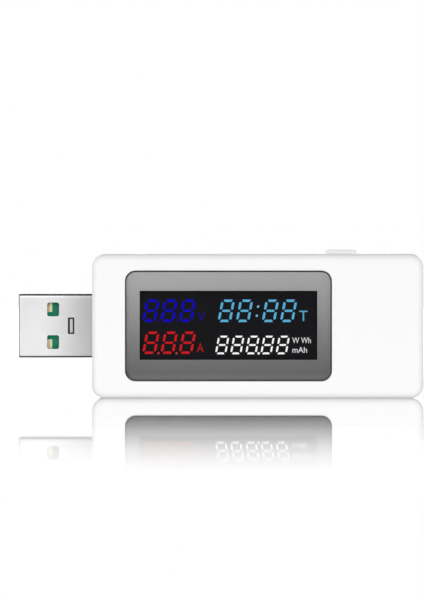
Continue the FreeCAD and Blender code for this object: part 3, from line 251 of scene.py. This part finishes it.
def printed_window(name, node):
    """The window's grey print, light at its top and dark at its foot as part print and part painted
    reflection, with a fine pearl grain.

    Its very edge is a thin dark line of painted shade, the shadow in the gap round the window, as wide as
    set above, that follows the rounded corners. Along the top and the foot it is wider by the rise set
    above.
    """
    made, n = new_finish(name)
    low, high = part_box(node)
    place = n.add("SeparateXYZ", {0: n.add("TexCoord").outputs["Object"]}).outputs
    # Part printed grey, part painted reflection: dark at the foot, light at the top.
    height = n.ranged(place[2], low.z, high.z, smooth=False)
    ramp = n.add("ValToRGB", {"Fac": height})
    while len(ramp.color_ramp.elements) < len(PRINT_AND_REFLECTION_GREYS):
        ramp.color_ramp.elements.new(0.5)
    for element, (position, level) in zip(ramp.color_ramp.elements, PRINT_AND_REFLECTION_GREYS, strict=True):
        element.position = position
        element.color = linear(level, level, level)
    side = n.ranged(place[0], low.x, high.x, 1.0, 0.92)
    grain = n.spread(n.noise(0.07, detail=2.0), 1.0, 0.05)
    past = []
    for axis, wider in ((0, 0.0), (2, EDGE_SHADE_RISE)):
        from_middle = n.maths("ABSOLUTE", n.maths("SUBTRACT", place[axis], (low[axis] + high[axis]) / 2))
        flat = (high[axis] - low[axis]) / 2 - PRINT_CORNER - wider
        past.append(n.maths("MAXIMUM", n.maths("SUBTRACT", from_middle, flat), 0.0))
    squares = n.maths("ADD", n.maths("POWER", past[0], 2.0), n.maths("POWER", past[1], 2.0))
    # Painted shade: a thin dark line round the print's edge for the shadow in the gap round the window.
    inner = PRINT_CORNER - EDGE_SHADE_WIDTH
    edge_shade = n.ranged(n.maths("SQRT", squares), inner, inner + 0.4 * EDGE_SHADE_WIDTH, 1.0, EDGE_SHADE_LEFT)
    share = n.maths("MULTIPLY", n.maths("MULTIPLY", side, grain), edge_shade)
    grey = n.add("VectorMath", {0: ramp.outputs["Color"], "Scale": share}, operation="SCALE").outputs[0]
    n.end(n.add("BsdfPrincipled", {
        "Base Color": grey, "Roughness": n.spread(n.noise(0.5), 0.5, 0.06),
        "Normal": n.bump(n.noise(0.06, detail=1.0), 0.6),
    }).outputs[0])
    return made


def clear_window(name):
    """A clear moulded window: it mirrors by its angle, faintly smudged, and passes the rest."""
    made, n = new_finish(name)
    outer = n.maths("SUBTRACT", 1.0, n.add("NewGeometry").outputs["Backfacing"])
    mirror = n.maths("MULTIPLY", n.add("Fresnel", {"IOR": 1.47}).outputs[0], outer)
    smudge = n.ranged(n.noise(5.0, (1, 1, 1.4), detail=6.0, roughness=0.6), 0.5, 0.78, 0.012, 0.035)
    gloss = n.add("BsdfGlossy", {"Color": (1, 1, 1, 1), "Roughness": smudge}).outputs[0]
    clear = n.add("BsdfTransparent", {"Color": (0.979, 0.979, 0.979, 1)}).outputs[0]
    n.end(n.add("MixShader", {0: mirror, 1: clear, 2: gloss}).outputs[0])
    return made


def lit_segments(name, colour, strength=1.0):
    """A lit area of the display: the backlight's faint unevenness through a colour film."""
    made, n = new_finish(name)
    uneven = n.spread(n.noise(1.1, detail=3.0), strength, strength * 0.07)
    n.end(n.add("Emission", {"Color": colour, "Strength": uneven}).outputs[0])
    return made


def gold_plate(name):
    """Gold plate, pale and bright, rubbed and a little soiled where a socket's springs wipe it."""
    made, n = new_finish(name)
    rubbed = n.noise(0.16, (0.25, 1, 1), detail=4.0, roughness=0.65)
    soiled = n.ranged(n.noise(0.5, detail=4.0, offset=7.0), 0.56, 0.66)
    tone = n.mixed(n.ranged(rubbed, 0.3, 0.7), linear(242, 224, 172), linear(252, 241, 206))
    tone = n.mixed(n.maths("MULTIPLY", soiled, 0.5), tone, linear(140, 96, 52))
    n.end(n.add("BsdfPrincipled", {
        "Base Color": tone, "Metallic": 1.0,
        "Roughness": n.maths("ADD", n.spread(rubbed, 0.34, 0.05), n.maths("MULTIPLY", soiled, 0.2)),
        "Normal": n.bump(rubbed, 0.8),
    }).outputs[0])
    return made


def laminate(name):
    """Green solder mask over glass cloth, with the copper showing paler in patches under it."""
    made, n = new_finish(name)
    cell = n.add("TexVoronoi", {"Vector": n.place(), "Scale": 0.45}, feature="DISTANCE_TO_EDGE",
                 distance="CHEBYCHEV").outputs["Distance"]
    copper = n.ranged(cell, 0.06, 0.09)
    tone = n.mixed(copper, linear(14, 74, 40), linear(34, 112, 62))
    weave = n.add("TexWave", {"Vector": n.place(), "Scale": 0.6, "Distortion": 0.3}).outputs["Fac"]
    n.end(n.add("BsdfPrincipled", {
        "Base Color": tone, "Roughness": n.spread(n.noise(1.0), 0.32, 0.05),
        "Normal": n.bump(n.maths("ADD", copper, n.maths("MULTIPLY", weave, 0.2)), 12.0),
    }).outputs[0])
    return made


# Moulded and coated slots: colour, roughness, then the grain's size in millimetres, its depth in
# microns, the tone's change and the specular level where they differ from the usual.
MOULDED = {
    "button_plastic": (linear(250, 250, 250), 0.36, {"grain": 0.09, "depth": 2.0}),
    "black_tape": (linear(18, 18, 20), 0.7, {"grain": 0.05, "depth": 3.0, "change": 0.15}),
    "gasket_foam": (linear(24, 24, 26), 0.9, {"grain": 0.11, "depth": 30.0, "change": 0.2}),
    "polariser_film": (linear(9, 9, 16), 0.4,
                       {"grain": 0.6, "depth": 0.4, "change": 0.1, "specular": 0.08}),
    "display_glass": (linear(150, 160, 158), 0.1, {"grain": 2.0, "depth": 0.2}),
    "colour_film": (linear(70, 82, 130), 0.3, {"grain": 0.8, "depth": 0.4, "change": 0.2, "swirl": 4.0}),
    "white_film": (linear(240, 240, 236), 0.5, {"grain": 0.2, "depth": 1.0}),
    "light_guide": (linear(225, 232, 232), 0.2, {"grain": 0.35, "depth": 8.0}),
    "led_body": (linear(238, 232, 196), 0.4, {"grain": 0.15, "depth": 2.0, "change": 0.04}),
    "chip_moulding": (linear(38, 38, 40), 0.55, {"grain": 0.06, "depth": 5.0, "change": 0.12}),
    "resistor_body": (linear(30, 32, 38), 0.35, {"grain": 0.08, "depth": 2.0, "change": 0.1}),
    "capacitor_body": (linear(160, 122, 82), 0.5, {
        "grain": 0.05, "depth": 4.0, "change": 0.08, "swirl": 0.7}),
    "switch_moulding": (linear(46, 44, 42), 0.45, {"grain": 0.08, "depth": 3.0, "change": 0.06}),
    # The green insulator's shade is a painted shade, left deep in the latch catch and its other recesses.
    "green_insulator": (linear(36, 184, 141), 0.4, {
        "grain": 0.14, "depth": 2.5, "change": 0.07, "swirl": 1.6, "shade": 0.05, "specular": 0.25}),
}

finishes = {name: moulded(name, colour, rough, **more) for name, (colour, rough, more) in MOULDED.items()}
finishes["white_housing"] = moulded("white_housing", linear(247, 247, 247), 0.31, grain=0.22, depth=0.35,
                                    change=0.003, swirl=12.0)
STEEL = dict(colour=linear(237, 237, 237), roughness=0.32, stretch=(0.06, 1, 1), depth=0.5, change=0.02)
finishes["shell_steel"] = metal("shell_steel", **STEEL)
case_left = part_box("front_shell")[0].x
# Painted shade on the plug's steel, darkening its tone towards the case.
PLUG_PAINTED_SHADE = (case_left - 9.5 * MM, case_left + 0.5 * MM, 0.62)
finishes["plug_steel"] = metal("plug_steel", painted_shade_toward_case=PLUG_PAINTED_SHADE, **STEEL)
finishes["tinned_metal"] = metal("tinned_metal", linear(205, 205, 204), 0.32, (1, 1, 0.3), depth=2.0)
finishes["window_print"] = printed_window("window_print", "window_mask")
finishes["clear_lens"] = clear_window("clear_lens")
finishes["gold_contact"] = gold_plate("gold_contact")
finishes["board_laminate"] = laminate("board_laminate")

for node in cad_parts.values():
    for slot in node.material_slots:
        slot.material = finishes[slot.material.name]
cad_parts["plug_shell"].material_slots[0].material = finishes["plug_steel"]


# ---------------------------------------------------------------------------
# The display's lit digits and units
# ---------------------------------------------------------------------------

SLANT = math.tan(math.radians(10.5))
POINT_SIZE = 0.42
CORNER = 0.08
LETTER_BOLD = 0.01
CAPITAL_HEIGHT = 0.7
LIT_DEPTH = 0.03 * MM
FILM_GAP = 0.01 * MM

mask_low, mask_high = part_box("window_mask")
corners = [
    v.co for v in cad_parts["window_mask"].data.vertices
    if mask_low.x + MM < v.co.x < mask_high.x - MM and mask_low.z + MM < v.co.z < mask_high.z - MM
]
view_left = min(c.x for c in corners)
view_top = max(c.z for c in corners)
lit_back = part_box("front_polariser")[0].y - FILM_GAP
lit_front = lit_back - LIT_DEPTH


def show(name, mesh, finish, body=BODY):
    """A new piece with that mesh and finish, riding on a body."""
    mesh.materials.clear()
    mesh.materials.append(finish)
    piece = bpy.data.objects.new(name, mesh)
    bpy.context.scene.collection.objects.link(piece)
    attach(piece, body)
    return piece


def eased(outline, radius):
    """An outline with each corner cut back by radius."""
    made = []
    for before, corner, after in zip(outline[-1:] + outline[:-1], outline, outline[1:] + outline[:1],
                                     strict=True):
        for other in (before, after):
            way = Vector(other) - Vector(corner)
            made.append(Vector(corner) + way * min(0.45, radius / way.length))
    return made


def slabs(name, outlines):
    """A mesh of thin slabs, one for each outline of (right, down) millimetres from the view's corner."""
    shape = bmesh.new()
    for outline in outlines:
        rings = [
            [shape.verts.new((view_left + right * MM, y, view_top - down * MM)) for right, down in outline]
            for y in (lit_front, lit_back)
        ]
        front, back = rings
        shape.faces.new(front)
        shape.faces.new(back[::-1])
        for i in range(len(outline)):
            j = (i + 1) % len(outline)
            shape.faces.new((front[j], front[i], back[i], back[j]))
    bmesh.ops.recalc_face_normals(shape, faces=shape.faces)
    mesh = bpy.data.meshes.new(name)
    shape.to_mesh(mesh)
    shape.free()
    return mesh


def seven_segments(width, height, thick):
    """The seven outlines of an upright figure from its top-left corner, with pointed and slanting ends."""
    middle = height / 2
    outer, inner = 0.099 * height, 0.152 * height
    bar = [(outer, 0), (width - outer, 0), (width - inner, thick), (inner, thick)]
    tip, flat, half = 0.106 * height, 0.150 * height, 0.050 * height
    centre = [
        (tip, middle), (flat, middle - half), (width - flat, middle - half),
        (width - tip, middle), (width - flat, middle + half), (flat, middle + half),
    ]
    post = [
        (0, 0.138 * height), (0.45 * thick, 0.103 * height), (thick, 0.156 * height),
        (thick, middle - 0.097 * height), (0.5 * thick, middle - 0.046 * height),
        (0, middle - 0.076 * height),
    ]
    right_post = [(width - x, y) for x, y in post]
    upper = [bar, post, right_post]
    return upper + [centre] + [[(x, height - y) for x, y in outline] for outline in upper]


def point(right, down):
    """The outline of a slanting square point about its middle."""
    half = POINT_SIZE / 2
    square = [(-half, -half), (half, -half), (half, half), (-half, half)]
    return eased([(right + x - y * SLANT, down + y) for x, y in square], CORNER)


def figure_row(lefts, top, width, height, thick):
    """The outlines of a row of slanted figures. width leaves the slant out."""
    return [
        eased([(left + x + (height - y) * SLANT, top + y) for x, y in outline], CORNER)
        for left in lefts
        for outline in seven_segments(width, height, thick)
    ]


def lettering(name, words):
    """A mesh of plain upright letters: each of words is a text and its left, top, right and bottom.

    The strokes are made bolder by LETTER_BOLD on each side.
    """
    shape = bmesh.new()
    for text, left, top, right, bottom in words:
        curve = bpy.data.curves.new(name, "FONT")
        curve.body = text
        curve.extrude = 0.5
        curve.resolution_u = 3
        curve.offset = LETTER_BOLD * CAPITAL_HEIGHT / (bottom - top)
        holder = bpy.data.objects.new(name, curve)
        bpy.context.scene.collection.objects.link(holder)
        bpy.context.view_layer.update()
        letters = bpy.data.meshes.new_from_object(holder.evaluated_get(
            bpy.context.evaluated_depsgraph_get()))
        bpy.data.objects.remove(holder)
        across = [v.co.x for v in letters.vertices]
        up = [v.co.y for v in letters.vertices]
        wide = (right - left) * MM / (max(across) - min(across))
        tall = (bottom - top) * MM / (max(up) - min(up))
        for v in letters.vertices:
            v.co = (
                view_left + left * MM + (v.co.x - min(across)) * wide,
                (lit_front + lit_back) / 2 - v.co.z * LIT_DEPTH,
                view_top - bottom * MM + (v.co.y - min(up)) * tall,
            )
        shape.from_mesh(letters)
        bpy.data.meshes.remove(letters)
    bmesh.ops.remove_doubles(shape, verts=shape.verts, dist=1e-6)
    mesh = bpy.data.meshes.new(name)
    shape.to_mesh(mesh)
    shape.free()
    return mesh


BLUE, CYAN = linear(14, 5, 184), linear(90, 175, 214)
RED, WHITE = linear(202, 26, 31), linear(255, 255, 255)
FIGURES = {
    "volt_digits": (BLUE, dict(lefts=(0.40, 3.81, 7.23), top=1.59, width=2.58, height=4.24, thick=0.50)),
    "time_digits": (CYAN, dict(lefts=(14.54, 17.96, 22.81, 26.22), top=1.63, width=2.53, height=4.23,
                               thick=0.46)),
    "ampere_digits": (RED, dict(lefts=(0.42, 3.83, 7.25), top=7.63, width=2.56, height=4.18, thick=0.46)),
    "power_digits": (WHITE, dict(lefts=(14.06, 16.89, 19.73, 22.56, 25.40), top=8.41, width=2.11,
                                 height=3.47, thick=0.35)),
}
POINTS = {
    "time_points": (linear(120, 186, 222), ((22.16, 2.95), (21.92, 4.67))),
    "power_point": (WHITE, ((22.27, 11.71),)),
    "volt_points": (linear(30, 9, 116), ((3.48, 5.61), (6.87, 5.61))),
    "ampere_points": (linear(180, 52, 54), ((3.48, 11.69), (6.89, 11.69))),
}
UNITS = {
    "volt_unit": (linear(26, 9, 134), [("V", 10.82, 4.04, 12.22, 5.71)]),
    "time_unit": (linear(88, 162, 196), [("T", 29.87, 3.71, 31.42, 5.66)]),
    "ampere_unit": (linear(172, 26, 32), [("A", 10.68, 9.81, 11.98, 11.47)]),
    "energy_units": (linear(218, 218, 220), [("W Wh", 28.55, 8.73, 32.06, 9.81),
                                             ("mAh", 28.57, 10.51, 31.32, 11.61)]),
}
for name, (colour, row) in FIGURES.items():
    show(name, slabs(name, figure_row(**row)), lit_segments(name, colour))
for name, (colour, places) in POINTS.items():
    show(name, slabs(name, [point(*place) for place in places]), lit_segments(name, colour))
for name, (colour, words) in UNITS.items():
    show(name, lettering(name, words), lit_segments(name, colour))


# ---------------------------------------------------------------------------
# The dome of the push button's switch
# ---------------------------------------------------------------------------


def sprung_dome():
    """A copy of the CAD dome in its place, with its own mesh, riding on the body; the CAD dome is hidden."""
    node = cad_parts["switch_dome"]
    finish = node.material_slots[0].material
    dome = show("sprung_dome", node.data.copy(), finish)
    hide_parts("switch_dome")
    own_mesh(dome)


sprung_dome()


# ---------------------------------------------------------------------------
# Floor, light and camera
# ---------------------------------------------------------------------------

FRONT = cad_box[0].y
FADE_NEAR, FADE_FAR = 48 * MM, 240 * MM
FLOOR_HALF = 6.0
FLOOR_AHEAD = 0.25
FLOOR_DROP = 0.02 * MM


def floor_finish():
    """A white gloss table. It mirrors what stands on it near the object, and more at a low angle.

    The light that it gives the object is set apart from how the camera sees it: full from the stretch in
    front, and dim from behind the object's front and from far ahead.
    """
    made, n = new_finish("floor")
    place = n.add("SeparateXYZ", {0: n.add("TexCoord").outputs["Object"]}).outputs
    across = n.maths("MULTIPLY", place[0], 0.6)
    ahead = n.maths("SUBTRACT", place[1], FRONT)
    apart = n.maths("SQRT", n.maths("ADD", n.maths("MULTIPLY", across, across),
                                    n.maths("MULTIPLY", ahead, ahead)))
    near = n.ranged(apart, FADE_NEAR, FADE_FAR, 1.0, 0.0)
    low = n.ranged(n.add("LayerWeight", {"Blend": 0.5}).outputs["Facing"], 0.78, 0.94, 0.02, 0.97)
    speckle = n.ranged(n.noise(30.0, detail=4.0), 0.3, 0.7, 0.90, 0.93, smooth=False)
    grey = n.add("CombineColor", {0: speckle, 1: speckle, 2: speckle}).outputs[0]
    matt = n.add("BsdfDiffuse", {"Color": grey})
    glow = n.add("Emission", {"Color": (1, 1, 1, 1), "Strength": n.ranged(apart, 0.2, 1.2, 0.50, 1.0)})
    body = n.add("AddShader", {0: matt.outputs[0], 1: glow.outputs[0]})
    gloss = n.add("BsdfGlossy", {"Color": (1, 1, 1, 1), "Roughness": 0.02})
    seen = n.add("MixShader", {0: n.maths("MULTIPLY", near, low), 1: body.outputs[0], 2: gloss.outputs[0]})
    to_behind = n.ranged(place[1], FRONT - 2 * MM, FRONT + 4 * MM, 0.96, 0.30)
    from_ahead = n.ranged(place[1], FRONT - 170 * MM, FRONT - 135 * MM, 0.08, 1.0)
    strength = n.maths("MULTIPLY", to_behind, from_ahead)
    bounced = n.add("Emission", {"Color": (1, 1, 1, 1), "Strength": strength})
    camera = n.add("LightPath").outputs["Is Camera Ray"]
    n.end(n.add("MixShader", {0: camera, 1: bounced.outputs[0], 2: seen.outputs[0]}).outputs[0])
    return made


def studio_floor():
    """The table the object stands on. It ends in front, where its window would otherwise mirror it."""
    mesh = bpy.data.meshes.new("floor")
    reach, ahead = FLOOR_HALF, FRONT - FLOOR_AHEAD
    mesh.from_pydata([(-reach, ahead, 0), (reach, ahead, 0), (reach, reach, 0), (-reach, reach, 0)],
                     [], [(0, 1, 2, 3)])
    mesh.materials.append(floor_finish())
    floor = bpy.data.objects.new("floor", mesh)
    floor.location.z = cad_box[0].z - FLOOR_DROP
    bpy.context.scene.collection.objects.link(floor)


def studio_world():
    """A room with a bright wall ahead and pale sides, dim above and behind, white along the horizon.

    The middle of the bright wall has a dark gap, which is what the display's window mirrors.
    """
    world = bpy.data.worlds.new("room")
    bpy.context.scene.world = world
    world.use_nodes = True
    n = Nodes(world.node_tree)
    way = n.add("SeparateXYZ", {0: n.add("TexCoord").outputs["Generated"]}).outputs
    ahead = n.maths("MULTIPLY", way[1], -1.0)
    room = n.ranged(ahead, -0.35, 0.6, 0.10, 0.6)
    sides = n.ranged(n.maths("ABSOLUTE", way[0]), 0.35, 0.8, 0.0, 0.5)
    wall = n.ranged(ahead, 0.78, 0.94, 0.0, 1.98)
    level = n.maths("MAXIMUM", n.maths("MAXIMUM", room, sides), wall)
    level = n.add("Mix", {0: n.ranged(way[2], 0.068, 0.11), 2: 1.0, 3: level}).outputs[0]
    gap = n.ranged(ahead, 0.989, 0.9972, 1.0, 0.07)
    lighting = n.add("Background", {"Color": (1, 1, 1, 1), "Strength": n.maths("MULTIPLY", level, gap)})
    seen = n.add("Background", {"Color": (1, 1, 1, 1), "Strength": 1.0})
    camera = n.add("LightPath").outputs["Is Camera Ray"]
    mixed = n.add("MixShader", {0: camera, 1: lighting.outputs[0], 2: seen.outputs[0]})
    n.add("OutputWorld", {"Surface": mixed.outputs[0]})


def softbox(name, place, size, radiance, aim=Vector((0, 0, 0.013))):
    """A soft rectangular lamp of that radiance, turned towards aim."""
    lamp = bpy.data.lights.new(name, "AREA")
    lamp.shape = "RECTANGLE"
    lamp.size, lamp.size_y = size
    lamp.energy = radiance * math.pi * size[0] * size[1]
    holder = bpy.data.objects.new(name, lamp)
    holder.location = place
    holder.rotation_euler = (Vector(place) - aim).to_track_quat("Z", "Y").to_euler()
    holder.visible_camera = False
    bpy.context.scene.collection.objects.link(holder)


# Each lamp's place and size in metres, and its radiance.
LAMPS = {
    "lamp_left": ((-0.80, -0.75, 0.30), (0.7, 0.8), 1.06),
    "lamp_right": ((0.80, -0.80, 0.35), (0.6, 0.8), 0.8),
    "lamp_above": ((0.0, -0.40, 1.0), (1.2, 0.5), 0.25),
    "lamp_back_low": ((0.0, 1.0, 0.25), (0.9, 0.3), 5.0),
    "lamp_back_left": ((-0.75, 0.60, 0.65), (0.5, 0.5), 0.8),
    "lamp_back_right": ((0.75, 0.60, 0.65), (0.5, 0.5), 0.8),
}


CAMERA_DISTANCE = 0.5
CAMERA_PLACE = (-1.6 * MM, FRONT - CAMERA_DISTANCE, 18.34 * MM)
CAMERA_LENS = 160.8


def photo_camera():
    """The camera at the photograph's angle: level, straight in front, a little above the object's middle."""
    data = bpy.data.cameras.new("camera")
    data.lens = CAMERA_LENS
    data.sensor_width = 36.0
    data.clip_start, data.clip_end = 0.01, 50.0
    camera = bpy.data.objects.new("camera", data)
    camera.location = CAMERA_PLACE
    camera.rotation_euler = (math.pi / 2, 0, 0)
    bpy.context.scene.collection.objects.link(camera)
    bpy.context.scene.camera = camera


studio_floor()
studio_world()
for lamp_name, settings in LAMPS.items():
    softbox(lamp_name, *settings)
photo_camera()
bpy.context.scene.view_settings.view_transform = "Standard"
